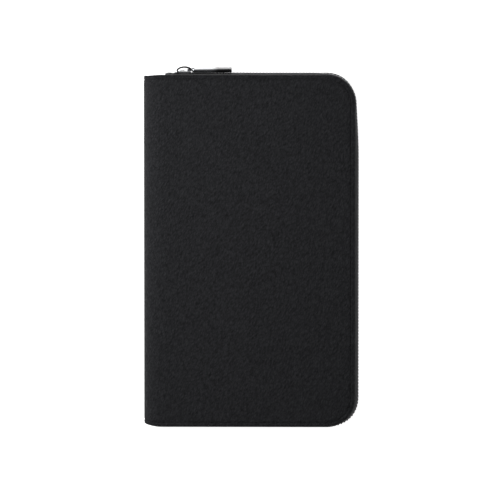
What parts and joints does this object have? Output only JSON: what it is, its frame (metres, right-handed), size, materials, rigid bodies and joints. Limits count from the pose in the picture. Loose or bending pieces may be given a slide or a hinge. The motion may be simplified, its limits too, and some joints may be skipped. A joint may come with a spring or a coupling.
{
  "type": "travel document organizer",
  "caption": "Zip-around leather travel wallet that opens flat at a rounded spine, with pockets for tickets, passport and cards, a pen loop and a metal zip.",
  "frame": {"origin": "bottom centre of the closed organizer as it lies on its back cover: the middle of its outline, on the back cover's outer face", "axes": "+X from the rounded spine to the fore edge, +Y to the top edge where the zip's slider parks, +Z from the back cover up to the front cover"},
  "size_m": [0.14, 0.2356, 0.024],
  "materials": {
    "grain_leather": "fine pebbled grain, satin",
    "pocket_leather": "smooth, satin",
    "lining_cloth": "woven twill, matt",
    "zip_tape": "woven tape, matt",
    "zip_metal": "polished",
    "spring_steel": "bright rolled",
    "stiffener_board": "matt grey-brown pulp board"
  },
  "bodies": {
    "back_half": {"back_cover_leather": "grain_leather", "back_board": "stiffener_board", "back_lining": "lining_cloth", "back_zip_tape": "zip_tape", "back_zip_teeth": "zip_metal", "back_top_stop": "zip_metal", "back_bottom_stop": "zip_metal", "ticket_pocket": "pocket_leather", "card_slot_1": "pocket_leather", "card_slot_2": "pocket_leather", "card_slot_3": "pocket_leather", "card_slot_4": "pocket_leather", "card_slot_5": "pocket_leather", "pen_loop": "pocket_leather"},
    "spine": {"spine_leather": "grain_leather", "spine_board": "stiffener_board", "spine_lining": "lining_cloth"},
    "front_half": {"front_cover_leather": "grain_leather", "front_board": "stiffener_board", "front_lining": "lining_cloth", "front_zip_tape": "zip_tape", "front_zip_teeth": "zip_metal", "front_top_stop": "zip_metal", "front_bottom_stop": "zip_metal", "document_pocket": "pocket_leather", "passport_pocket": "pocket_leather"},
    "slider": {"slider_body": "zip_metal", "slider_crown": "zip_metal", "slider_lock_spring": "spring_steel"},
    "pull": {"pull_tab": "zip_metal"}
  },
  "joints": [
    {"name": "spine_fold", "type": "hinge", "parent": "back_half", "child": "spine", "pos_m": [-0.0674, 0, 0.00258], "axis": [0, -1, 0], "range_deg": [0, 90]},
    {"name": "front_fold", "type": "hinge", "parent": "spine", "child": "front_half", "pos_m": [-0.0674, 0, 0.02142], "axis": [0, -1, 0], "range_deg": [0, 90]},
    {"name": "slider_travel", "type": "slide", "parent": "back_half", "child": "slider", "axis": [1, 0, 0], "range_m": [0, 0.078], "deforming": ["back_zip_teeth", "front_zip_teeth"]},
    {"name": "pull_swing", "type": "hinge", "parent": "slider", "child": "pull", "pos_m": [-0.04147, 0.11557, 0.012], "axis": [0, 0, 1], "range_deg": [0, 120]}
  ],
  "couplings": [
    {"joint": "front_fold", "follows": "spine_fold", "ratio": 1}
  ]
}
